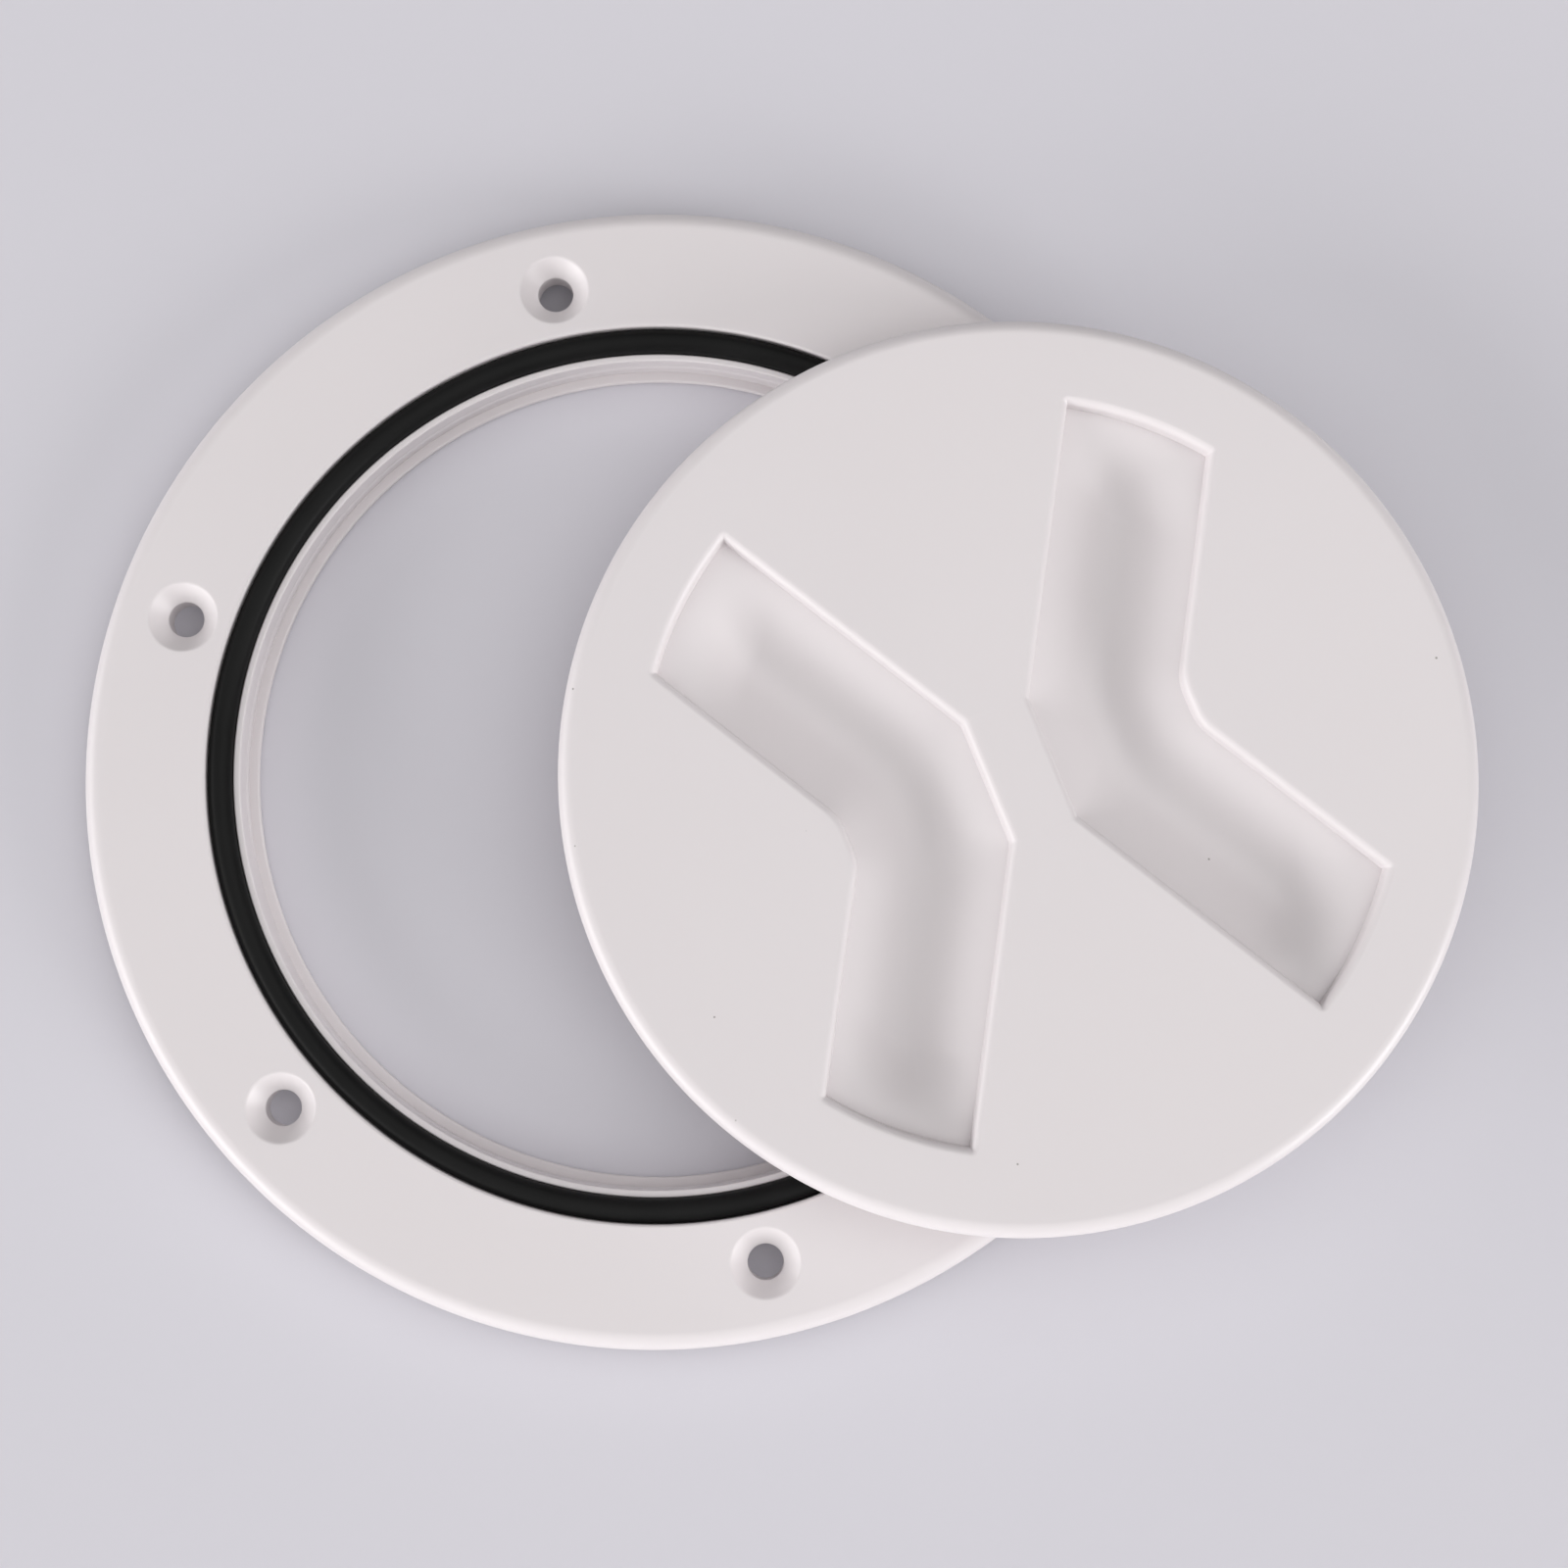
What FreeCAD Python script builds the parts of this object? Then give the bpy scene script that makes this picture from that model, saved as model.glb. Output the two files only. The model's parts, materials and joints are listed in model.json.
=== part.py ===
import FreeCAD, Part
import math
import os

# Screw-in deck inspection plate, in millimetres, +Z up.
# The origin is on the mounting ring's axis, in the plane of the deck that the flange is screwed to.
# Three mouldings: the mounting ring, the seal ring that lies in its seat, and the screw lid,
# which is taken off and lies on the flange, pushed to one side, as it does while the hatch is open.

# Section of the mounting ring, each width measured outward from the one before
clear_opening = 103.2
lip_width = 1.3
collar_wall = 2.5
seat_width = 4.1
flange_width = 15.5
flange_thickness = 5.0
collar_depth = 3.0
lip_height = 1.0
seat_depth = 3.2
seal_groove_width = 3.2
sill_height = 1.6
flange_edge_round = 2.4
flange_foot_round = 0.5
collar_edge_round = 0.5
lip_edge_round = 0.3
seat_edge_round = 0.4
sill_edge_round = 0.25

# Screw holes, the first one on +Y
screw_count = 6
screw_seat_distance = 6.2
screw_hole_diameter = 4.5
countersink_diameter = 8.7
countersink_angle = 90.0
first_screw_angle = 90.0

# Hollow underside of the flange
flange_skin = 2.4
flange_outer_wall = 2.5
flange_inner_wall = 2.2
hollow_corner_round = 0.6
boss_diameter = 10.4
rib_thickness = 1.8

# Seal ring
seal_section_diameter = 3.1
seal_side_gap = 0.05

# Screw lid
lid_seat_gap = 0.4
lid_rim_thickness = 4.0
lid_edge_round = 2.0
lid_foot_round = 0.5
lid_skin = 2.4
skirt_height = 6.0
skirt_wall = 2.0
skirt_edge_round = 0.4
skirt_root_round = 0.5

# Right-hand thread: one ridge for each start, in the ring's bore and on the lid's skirt
thread_starts = 2
thread_lead = 4.4
thread_height = 0.6
thread_root_width = 1.6
thread_crest_width = 0.6
thread_clearance = 0.2
thread_end_gap = 0.2
bore_ridge_sweep = 160.0
skirt_ridge_sweep = 200.0
thread_sink = 0.3

# Finger troughs of the lid: each runs along two arms and a short middle run between them
trough_width = 18.6
trough_depth = 7.0
trough_wall = 1.8
trough_arm_angle = 60.0
trough_arm_offset = 9.0
trough_web = 8.4
trough_reach = 46.2
trough_rim_round = 1.0
trough_end_depth = 3.0
trough_end_slope_length = 8.0
trough_fold_round = 6.0

# Where the lid lies while the hatch is open
lid_shift = 44.7
lid_shift_angle = -14.2
lid_turn = 9.5

# Spare length by which a cutter passes the face that it cuts
overcut = 1.0
fold_sink = 0.05

ORIGIN = FreeCAD.Vector(0, 0, 0)
X_AXIS = FreeCAD.Vector(1, 0, 0)
Z_AXIS = FreeCAD.Vector(0, 0, 1)


def out(node, shape):
    shape.exportStep("parts/" + node + ".step")
    print(node, "valid", shape.isValid(), "solids", len(shape.Solids), "volume", round(shape.Volume, 1))


def polar(radius, degrees, height=0.0):
    a = math.radians(degrees)
    return FreeCAD.Vector(radius * math.cos(a), radius * math.sin(a), height)


def turned_about_z(shape, degrees):
    copy = shape.copy()
    copy.rotate(ORIGIN, Z_AXIS, degrees)
    return copy


def rounded_outline(corners):
    """Closed wire through corners (x, y, rounding), with a tangent arc at each corner that has one."""
    count = len(corners)
    edges = []
    starts = []
    ends = []
    for i, (x, y, rounding) in enumerate(corners):
        here = FreeCAD.Vector(x, y, 0)
        back = (FreeCAD.Vector(*corners[i - 1][:2], 0) - here).normalize()
        ahead = (FreeCAD.Vector(*corners[(i + 1) % count][:2], 0) - here).normalize()
        half = back.getAngle(ahead) / 2
        tangent = rounding / math.tan(half)
        starts.append(here + back * tangent)
        ends.append(here + ahead * tangent)
        if rounding > 0:
            inward = (back + ahead).normalize()
            crown = here + inward * (rounding / math.sin(half) - rounding)
            edges.append(Part.Arc(starts[i], crown, ends[i]).toShape())
    for i in range(count):
        a = ends[i]
        b = starts[(i + 1) % count]
        edges.append(Part.LineSegment(a, b).toShape())
    return Part.Wire(Part.__sortEdges__(edges))


def turned(corners):
    """Solid of revolution about Z from corners (radius, height, rounding)."""
    wire = rounded_outline(corners)
    wire.rotate(ORIGIN, X_AXIS, 90)
    return Part.Face(wire).revolve(ORIGIN, Z_AXIS, 360)


# Sizes that follow from the ones above
opening_radius = clear_opening / 2
thread_bore_radius = opening_radius + lip_width
collar_radius = thread_bore_radius + collar_wall
seat_radius = thread_bore_radius + seat_width
flange_radius = seat_radius + flange_width
screw_circle_radius = seat_radius + screw_seat_distance
seat_floor = flange_thickness - seat_depth
sill_radius = seat_radius - seal_groove_width
sill_top = seat_floor + sill_height
lip_top = lip_height - collar_depth
screw_angles = [first_screw_angle + i * 360.0 / screw_count for i in range(screw_count)]
rib_angles = [a + 180.0 / screw_count for a in screw_angles]
lid_height = skirt_height + lid_rim_thickness
lid_radius = seat_radius - lid_seat_gap
skirt_radius = thread_bore_radius - thread_clearance - thread_height


def screw_hole(degrees):
    """Clearance hole and its countersink, as one cutter."""
    hole_radius = screw_hole_diameter / 2
    slope = math.tan(math.radians(countersink_angle / 2))
    sink_depth = (countersink_diameter / 2 - hole_radius) / slope
    sink_foot = flange_thickness - sink_depth
    hole_foot = polar(screw_circle_radius, degrees, -overcut)
    hole = Part.makeCylinder(hole_radius, flange_thickness + overcut, hole_foot)
    cone_foot = polar(screw_circle_radius, degrees, sink_foot)
    cone_top_radius = countersink_diameter / 2 + overcut * slope
    cone = Part.makeCone(hole_radius, cone_top_radius, sink_depth + overcut, cone_foot)
    return hole.fuse(cone)


def thread_ridges(root_radius, crest_radius, foot, sweep):
    """One helical ridge for each start, standing from root_radius to crest_radius, its foot at height foot."""
    outward = math.copysign(1, crest_radius - root_radius)
    sunk_radius = root_radius - outward * thread_sink
    flank_slope = (thread_root_width - thread_crest_width) / 2 / thread_height
    sunk_half_width = thread_root_width / 2 + thread_sink * flank_slope
    middle = foot + thread_root_width / 2
    corners = [
        FreeCAD.Vector(sunk_radius, 0, middle - sunk_half_width),
        FreeCAD.Vector(crest_radius, 0, middle - thread_crest_width / 2),
        FreeCAD.Vector(crest_radius, 0, middle + thread_crest_width / 2),
        FreeCAD.Vector(sunk_radius, 0, middle + sunk_half_width),
    ]
    section = Part.makePolygon(corners + corners[:1])
    helix = Part.makeHelix(thread_lead, thread_lead * sweep / 360, root_radius)
    helix.translate(Z_AXIS * middle)
    ridge = helix.makePipeShell([section], True, True)
    return [turned_about_z(ridge, start * 360.0 / thread_starts) for start in range(thread_starts)]


def flange_hollow():
    """Ring-shaped hollow under the flange, less a boss at each screw and a rib midway between screws."""
    depth = flange_thickness - flange_skin
    outer = flange_radius - flange_outer_wall
    inner = seat_radius + flange_inner_wall
    hollow = turned([
        (inner, -overcut, 0),
        (outer, -overcut, 0),
        (outer, depth, hollow_corner_round),
        (inner, depth, hollow_corner_round),
    ])
    for degrees in screw_angles:
        foot = polar(screw_circle_radius, degrees, -2 * overcut)
        hollow = hollow.cut(Part.makeCylinder(boss_diameter / 2, flange_thickness + 2 * overcut, foot))
    for degrees in rib_angles:
        corner = FreeCAD.Vector(0, -rib_thickness / 2, -2 * overcut)
        rib = Part.makeBox(flange_radius, rib_thickness, flange_thickness + 2 * overcut, corner)
        hollow = hollow.cut(turned_about_z(rib, degrees))
    return hollow


def mounting_ring():
    """Flange, seat, threaded bore and collar in one turned section, then the hollow and the screw holes."""
    ring = turned([
        (flange_radius, 0, flange_foot_round),
        (flange_radius, flange_thickness, flange_edge_round),
        (seat_radius, flange_thickness, seat_edge_round),
        (seat_radius, seat_floor, 0),
        (sill_radius, seat_floor, 0),
        (sill_radius, sill_top, sill_edge_round),
        (thread_bore_radius, sill_top, sill_edge_round),
        (thread_bore_radius, lip_top, 0),
        (opening_radius, lip_top, lip_edge_round),
        (opening_radius, -collar_depth, collar_edge_round),
        (collar_radius, -collar_depth, collar_edge_round),
        (collar_radius, 0, 0),
    ])
    ring = ring.cut(flange_hollow())
    for degrees in screw_angles:
        ring = ring.cut(screw_hole(degrees))
    crest_radius = thread_bore_radius - thread_height
    ridge_foot = lip_top + thread_end_gap
    for ridge in thread_ridges(thread_bore_radius, crest_radius, ridge_foot, bore_ridge_sweep):
        ring = ring.fuse(ridge)
    return ring


def seal_ring():
    section_radius = seal_section_diameter / 2
    middle_radius = seat_radius - seal_side_gap - section_radius
    return Part.makeTorus(middle_radius, section_radius, FreeCAD.Vector(0, 0, seat_floor + section_radius))


def trough_path():
    """Corner points of a trough's centre line, in the plane of the skirt's rim, symmetric about X."""
    arm = math.radians(trough_arm_angle)
    along = FreeCAD.Vector(math.cos(arm), math.sin(arm), 0)
    across = FreeCAD.Vector(math.sin(arm), -math.cos(arm), 0)
    middle = (trough_web + trough_width) / 2
    bend = (middle * math.sin(arm) - trough_arm_offset) / math.cos(arm)
    end = across * trough_arm_offset + along * (trough_reach + trough_width)
    upper = [FreeCAD.Vector(middle, bend, 0), end]
    lower = [FreeCAD.Vector(p.x, -p.y, 0) for p in reversed(upper)]
    return lower + upper


def trough_space(grow, top):
    """A trough's round-bottomed space up to height top, or the shell that holds it when grown by a wall."""
    half_width = trough_width / 2
    bowl_radius = (half_width ** 2 + trough_depth ** 2) / (2 * trough_depth)
    bowl_centre = lid_height - trough_depth + bowl_radius
    radius = bowl_radius + grow
    edge = min(top, lid_height)
    side = math.sqrt(radius ** 2 - (bowl_centre - edge) ** 2)
    path = trough_path()
    ahead = (path[1] - path[0]).normalize()
    left = FreeCAD.Vector(-ahead.y, ahead.x, 0)
    near = path[0] - left * side
    far = path[0] + left * side
    lowest = path[0] + Z_AXIS * (bowl_centre - radius)
    edges = [Part.Arc(near + Z_AXIS * edge, lowest, far + Z_AXIS * edge).toShape()]
    if top > edge:
        edges.append(Part.LineSegment(far + Z_AXIS * edge, far + Z_AXIS * top).toShape())
        edges.append(Part.LineSegment(near + Z_AXIS * edge, near + Z_AXIS * top).toShape())
    edges.append(Part.LineSegment(far + Z_AXIS * top, near + Z_AXIS * top).toShape())
    section = Part.Wire(Part.__sortEdges__(edges))
    mitred_corners = 1
    channel = Part.makePolygon(path).makePipeShell([section], True, False, mitred_corners)
    return channel.common(Part.makeCylinder(trough_reach + grow, top)).cut(end_slope(grow))


def end_slope(grow):
    """Ring that holds up the sloping ends of the troughs' floor, lowered by a wall when grown."""
    slope = (trough_depth - trough_end_depth) / trough_end_slope_length
    fall = grow * math.hypot(1, slope)
    floor = lid_height - trough_depth
    slope_foot = trough_reach - trough_end_slope_length
    ring_top = floor - grow - fold_sink
    fold = slope_foot + (ring_top + fall - floor) / slope
    reach = trough_reach + grow + overcut
    return turned([
        (fold - 2 * overcut, ring_top - overcut, 0),
        (fold - 2 * overcut, ring_top, 0),
        (fold, ring_top, trough_fold_round),
        (reach, floor + (reach - slope_foot) * slope - fall, 0),
        (reach, ring_top - overcut, 0),
    ])


def trough_rim_edges(lid):
    """Edges of the lid's top face that run round the troughs."""
    found = []
    for edge in lid.Edges:
        on_top = all(abs(v.Z - lid_height) < 1e-5 for v in edge.Vertexes) and edge.BoundBox.ZLength < 1e-5
        reach = max(math.hypot(v.X, v.Y) for v in edge.Vertexes)
        if on_top and reach < (trough_reach + lid_radius) / 2:
            found.append(edge)
    return found


def screw_lid():
    """Plate, rim and skirt in one turned section, with two troughs sunk in it, half a turn apart."""
    skirt_inner_radius = skirt_radius - skirt_wall
    skin_foot = lid_height - lid_skin
    lid = turned([
        (0, lid_height, 0),
        (0, skin_foot, 0),
        (skirt_inner_radius, skin_foot, skirt_root_round),
        (skirt_inner_radius, 0, skirt_edge_round),
        (skirt_radius, 0, skirt_edge_round),
        (skirt_radius, skirt_height, skirt_root_round),
        (lid_radius, skirt_height, lid_foot_round),
        (lid_radius, lid_height, lid_edge_round),
    ])
    shell = trough_space(trough_wall, (lid_height + skin_foot) / 2)
    space = trough_space(0.0, lid_height + overcut)
    for half_turn in (0, 180):
        lid = lid.fuse(turned_about_z(shell, half_turn))
    for half_turn in (0, 180):
        lid = lid.cut(turned_about_z(space, half_turn))
    lid = lid.makeFillet(trough_rim_round, trough_rim_edges(lid))
    crest_radius = skirt_radius + thread_height
    ridge_foot = skirt_edge_round + thread_end_gap
    for ridge in thread_ridges(skirt_radius, crest_radius, ridge_foot, skirt_ridge_sweep):
        lid = lid.fuse(ridge)
    lid = turned_about_z(lid, lid_turn)
    lid.translate(polar(lid_shift, lid_shift_angle, flange_thickness))
    return lid


os.makedirs("parts", exist_ok=True)
out("mounting_ring", mounting_ring())
out("seal_ring", seal_ring())
out("screw_lid", screw_lid())
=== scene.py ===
import json
import math

import bmesh
import bpy
from mathutils import Matrix, Vector


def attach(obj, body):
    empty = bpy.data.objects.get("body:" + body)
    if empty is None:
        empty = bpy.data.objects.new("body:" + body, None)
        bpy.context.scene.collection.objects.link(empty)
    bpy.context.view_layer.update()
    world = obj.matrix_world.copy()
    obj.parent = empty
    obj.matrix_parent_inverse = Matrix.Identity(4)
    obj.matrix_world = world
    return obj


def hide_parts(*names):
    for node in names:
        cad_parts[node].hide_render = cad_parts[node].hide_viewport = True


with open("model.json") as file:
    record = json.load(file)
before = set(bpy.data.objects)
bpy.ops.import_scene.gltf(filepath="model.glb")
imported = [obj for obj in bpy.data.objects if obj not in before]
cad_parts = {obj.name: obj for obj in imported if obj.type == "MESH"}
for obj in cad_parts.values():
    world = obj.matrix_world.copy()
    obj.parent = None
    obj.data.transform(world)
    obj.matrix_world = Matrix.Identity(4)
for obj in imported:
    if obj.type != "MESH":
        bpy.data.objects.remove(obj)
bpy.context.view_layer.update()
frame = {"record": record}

# Mounting ring: one white plastic moulding, turned about the hatch's axis. It has a flat flange
# with a rounded edge, a seat for the seal, a threaded bore with a narrow lip, and a collar that
# goes into the deck's cut-out.
MM = 0.001
MERGE_DISTANCE = 0.001 * MM
LIP_WIDTH = 1.3 * MM
COLLAR_WALL = 2.5 * MM
SEAT_WIDTH = 4.1 * MM
FLANGE_WIDTH = 15.5 * MM
SEAL_GROOVE_WIDTH = 3.2 * MM
SILL_HEIGHT = 1.6 * MM
OPENING_RADIUS = 51.6 * MM
BORE_RADIUS = OPENING_RADIUS + LIP_WIDTH
COLLAR_RADIUS = BORE_RADIUS + COLLAR_WALL
SEAT_RADIUS = BORE_RADIUS + SEAT_WIDTH
FLANGE_RADIUS = SEAT_RADIUS + FLANGE_WIDTH
FLANGE_TOP = 5.0 * MM
SEAT_FLOOR = 1.8 * MM
SILL_RADIUS = SEAT_RADIUS - SEAL_GROOVE_WIDTH
SILL_TOP = SEAT_FLOOR + SILL_HEIGHT
LIP_TOP = -2.0 * MM
COLLAR_FOOT = -3.0 * MM
FLANGE_FOOT_ROUND = 0.5 * MM
FLANGE_EDGE_ROUND = 2.4 * MM
SEAT_EDGE_ROUND = 0.4 * MM
SILL_EDGE_ROUND = 0.25 * MM
LIP_EDGE_ROUND = 0.3 * MM
COLLAR_EDGE_ROUND = 0.5 * MM
TURN_STEPS = 360


def arc_points(centre, radius, start, end, steps):
    """Points of an arc in a section's plane, from angle start to angle end, in radians."""
    angles = [start + (end - start) * i / steps for i in range(steps + 1)]
    return [(centre[0] + radius * math.cos(a), centre[1] + radius * math.sin(a)) for a in angles]


def rounded_section(corners, is_closed=True):
    """Points (radius, height) through corners (radius, height, rounding), rounded by arcs."""
    chord_angle = math.radians(9)
    points = []
    for i, (radius, height, rounding) in enumerate(corners):
        here = Vector((radius, height))
        is_end = not is_closed and i in (0, len(corners) - 1)
        if rounding == 0 or is_end:
            points.append((radius, height))
            continue
        back = (Vector(corners[i - 1][:2]) - here).normalized()
        ahead = (Vector(corners[(i + 1) % len(corners)][:2]) - here).normalized()
        half = back.angle(ahead) / 2
        centre = here + (back + ahead).normalized() * (rounding / math.sin(half))
        first = here + back * (rounding / math.tan(half)) - centre
        last = here + ahead * (rounding / math.tan(half)) - centre
        start = math.atan2(first.y, first.x)
        turn = -first.angle_signed(last)
        steps = max(4, round(abs(turn) / chord_angle))
        points += arc_points(centre, rounding, start, start + turn, steps)
    return points


def add_sheet(mesh, rows, is_ring=False):
    """Adds a sheet of four-sided faces between rows of points. A ring's last row joins its first
    one."""
    made = [[mesh.verts.new(point) for point in row] for row in rows]
    if is_ring:
        made.append(made[0])
    for here, there in zip(made, made[1:]):
        for i in range(len(here) - 1):
            mesh.faces.new((here[i], here[i + 1], there[i + 1], there[i]))


def add_turned(mesh, section, is_closed):
    """Adds the skin that a section gives when it is turned about Z."""
    loop = section + section[:1] if is_closed else section
    rows = []
    for i in range(TURN_STEPS):
        a = 2 * math.pi * i / TURN_STEPS
        rows.append([(r * math.cos(a), r * math.sin(a), z) for r, z in loop])
    add_sheet(mesh, rows, is_ring=True)


def piece_of(name, mesh):
    """Turns a bmesh into an object of the scene, with its doubles merged and its faces outward."""
    bmesh.ops.remove_doubles(mesh, verts=mesh.verts, dist=MERGE_DISTANCE)
    bmesh.ops.recalc_face_normals(mesh, faces=mesh.faces)
    data = bpy.data.meshes.new(name)
    mesh.to_mesh(data)
    mesh.free()
    data.shade_smooth()
    piece = bpy.data.objects.new(name, data)
    bpy.context.scene.collection.objects.link(piece)
    return piece


def add_node(tree, kind, inputs, **settings):
    """Adds a node and fills its inputs, each with a value or with the output that feeds it."""
    made = tree.nodes.new(kind)
    for key, value in settings.items():
        setattr(made, key, value)
    for key, value in inputs.items():
        if isinstance(value, bpy.types.NodeSocket):
            tree.links.new(value, made.inputs[key])
        else:
            made.inputs[key].default_value = value
    return made


def add_tree_modifier(piece, tree, values):
    """Gives a piece a Geometry Nodes modifier, with its inputs set by their names."""
    modifier = piece.modifiers.new(tree.name, "NODES")
    modifier.node_group = tree
    for socket in tree.interface.items_tree:
        if socket.item_type == "SOCKET" and socket.in_out == "INPUT" and socket.name in values:
            modifier[socket.identifier] = values[socket.name]


def settle(piece):
    """Replaces a piece's mesh by the plain one that its modifiers give, and takes them off."""
    evaluated = piece.evaluated_get(bpy.context.evaluated_depsgraph_get())
    plain = bpy.data.meshes.new_from_object(evaluated)
    plain.name = piece.name
    piece.modifiers.clear()
    piece.data = plain


def crisp_shading(piece):
    """Smooth shading that keeps flat faces flat and corners of a moulding sharp."""
    sharp_angle = math.radians(40)
    piece.data.set_sharp_from_angle(angle=sharp_angle)
    weighted = piece.modifiers.new("flat_faces_lead", "WEIGHTED_NORMAL")
    weighted.keep_sharp = True
    weighted.weight = 100
    settle(piece)


ring_mesh = bmesh.new()
ring_section = rounded_section([
    (FLANGE_RADIUS, 0, FLANGE_FOOT_ROUND),
    (FLANGE_RADIUS, FLANGE_TOP, FLANGE_EDGE_ROUND),
    (SEAT_RADIUS, FLANGE_TOP, SEAT_EDGE_ROUND),
    (SEAT_RADIUS, SEAT_FLOOR, 0),
    (SILL_RADIUS, SEAT_FLOOR, 0),
    (SILL_RADIUS, SILL_TOP, SILL_EDGE_ROUND),
    (BORE_RADIUS, SILL_TOP, SILL_EDGE_ROUND),
    (BORE_RADIUS, LIP_TOP, 0),
    (OPENING_RADIUS, LIP_TOP, LIP_EDGE_ROUND),
    (OPENING_RADIUS, COLLAR_FOOT, COLLAR_EDGE_ROUND),
    (COLLAR_RADIUS, COLLAR_FOOT, COLLAR_EDGE_ROUND),
    (COLLAR_RADIUS, 0, 0),
])
add_turned(ring_mesh, ring_section, is_closed=True)
ring = piece_of("ring_moulding", ring_mesh)

# Screw places of the ring: six countersunk holes on one circle, each in a boss under the flange,
# moulded with it. Between the bosses it is hollow below, with a rib midway between screws.
screws = frame["record"]["mounts"][0]["dims"]
SCREW_COUNT = screws["count"]
SCREW_CIRCLE_RADIUS = screws["pcd_mm"] / 2 * MM
SCREW_HOLE_RADIUS = screws["hole_r_mm"] * MM
COUNTERSINK_RADIUS = 4.35 * MM
COUNTERSINK_EDGE = 0.6 * MM
SINK_FOOT_ROUND = 0.3 * MM
BOSS_RADIUS = 5.2 * MM
RIB_HALF_WIDTH = 0.9 * MM
FLANGE_INNER_WALL = 2.2 * MM
FLANGE_OUTER_WALL = 2.5 * MM
FLANGE_SKIN = 2.4 * MM
HOLLOW_INNER_RADIUS = SEAT_RADIUS + FLANGE_INNER_WALL
HOLLOW_OUTER_RADIUS = FLANGE_RADIUS - FLANGE_OUTER_WALL
HOLLOW_TOP = FLANGE_TOP - FLANGE_SKIN
HOLLOW_EDGE = 0.6 * MM
CUT_PAST = 1.0 * MM


def screw_cutter():
    """Closed mesh of a screw hole with its countersink, and of the pocket round its boss."""
    mesh = bmesh.new()
    sink_foot = FLANGE_TOP - (COUNTERSINK_RADIUS - SCREW_HOLE_RADIUS)
    top = FLANGE_TOP + CUT_PAST
    collar_reach = COUNTERSINK_RADIUS + 4 * CUT_PAST
    collar_lift = 0.02 * MM
    section = rounded_section([
        (0, -CUT_PAST, 0),
        (SCREW_HOLE_RADIUS, -CUT_PAST, 0),
        (SCREW_HOLE_RADIUS, sink_foot, SINK_FOOT_ROUND),
        (COUNTERSINK_RADIUS, FLANGE_TOP, COUNTERSINK_EDGE),
        (collar_reach, FLANGE_TOP + collar_lift, 0),
        (collar_reach, top, 0),
        (0, top, 0),
    ], is_closed=False)
    steps = 72
    rows = []
    for i in range(steps):
        a = 2 * math.pi * i / steps
        rows.append([
            (r * math.cos(a) + SCREW_CIRCLE_RADIUS, r * math.sin(a), z) for r, z in section
        ])
    add_sheet(mesh, rows, is_ring=True)
    bmesh.ops.remove_doubles(mesh, verts=mesh.verts, dist=MERGE_DISTANCE)

    half_angle = math.pi / SCREW_COUNT
    outer_turn = half_angle - math.asin(RIB_HALF_WIDTH / HOLLOW_OUTER_RADIUS)
    inner_turn = half_angle - math.asin(RIB_HALF_WIDTH / HOLLOW_INNER_RADIUS)
    reach = HOLLOW_INNER_RADIUS ** 2 + SCREW_CIRCLE_RADIUS ** 2 - BOSS_RADIUS ** 2
    boss_turn = math.acos(reach / (2 * HOLLOW_INNER_RADIUS * SCREW_CIRCLE_RADIUS))
    boss_foot_x = HOLLOW_INNER_RADIUS * math.cos(boss_turn) - SCREW_CIRCLE_RADIUS
    boss_foot_y = HOLLOW_INNER_RADIUS * math.sin(boss_turn)
    boss_start = math.atan2(boss_foot_y, boss_foot_x)
    outer_steps, inner_steps, boss_steps = 56, 24, 40
    boss_centre = (SCREW_CIRCLE_RADIUS, 0)
    outline = arc_points((0, 0), HOLLOW_OUTER_RADIUS, -outer_turn, outer_turn, outer_steps)
    outline += arc_points((0, 0), HOLLOW_INNER_RADIUS, inner_turn, boss_turn, inner_steps)
    outline += arc_points(boss_centre, BOSS_RADIUS, boss_start, -boss_start, boss_steps)[1:-1]
    outline += arc_points((0, 0), HOLLOW_INNER_RADIUS, -boss_turn, -inner_turn, inner_steps)
    pocket = mesh.faces.new([mesh.verts.new((x, y, -CUT_PAST)) for x, y in outline])
    raised = bmesh.ops.extrude_face_region(mesh, geom=[pocket])["geom"]
    roof = [v for v in raised if isinstance(v, bmesh.types.BMVert)]
    bmesh.ops.translate(mesh, verts=roof, vec=(0, 0, HOLLOW_TOP + CUT_PAST))
    roof_edges = [e for e in mesh.edges if e.verts[0] in roof and e.verts[1] in roof]
    bmesh.ops.bevel(mesh, geom=roof_edges, offset=HOLLOW_EDGE, segments=3, profile=0.5,
                    affect="EDGES")
    return piece_of("screw_cutter", mesh)


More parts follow.
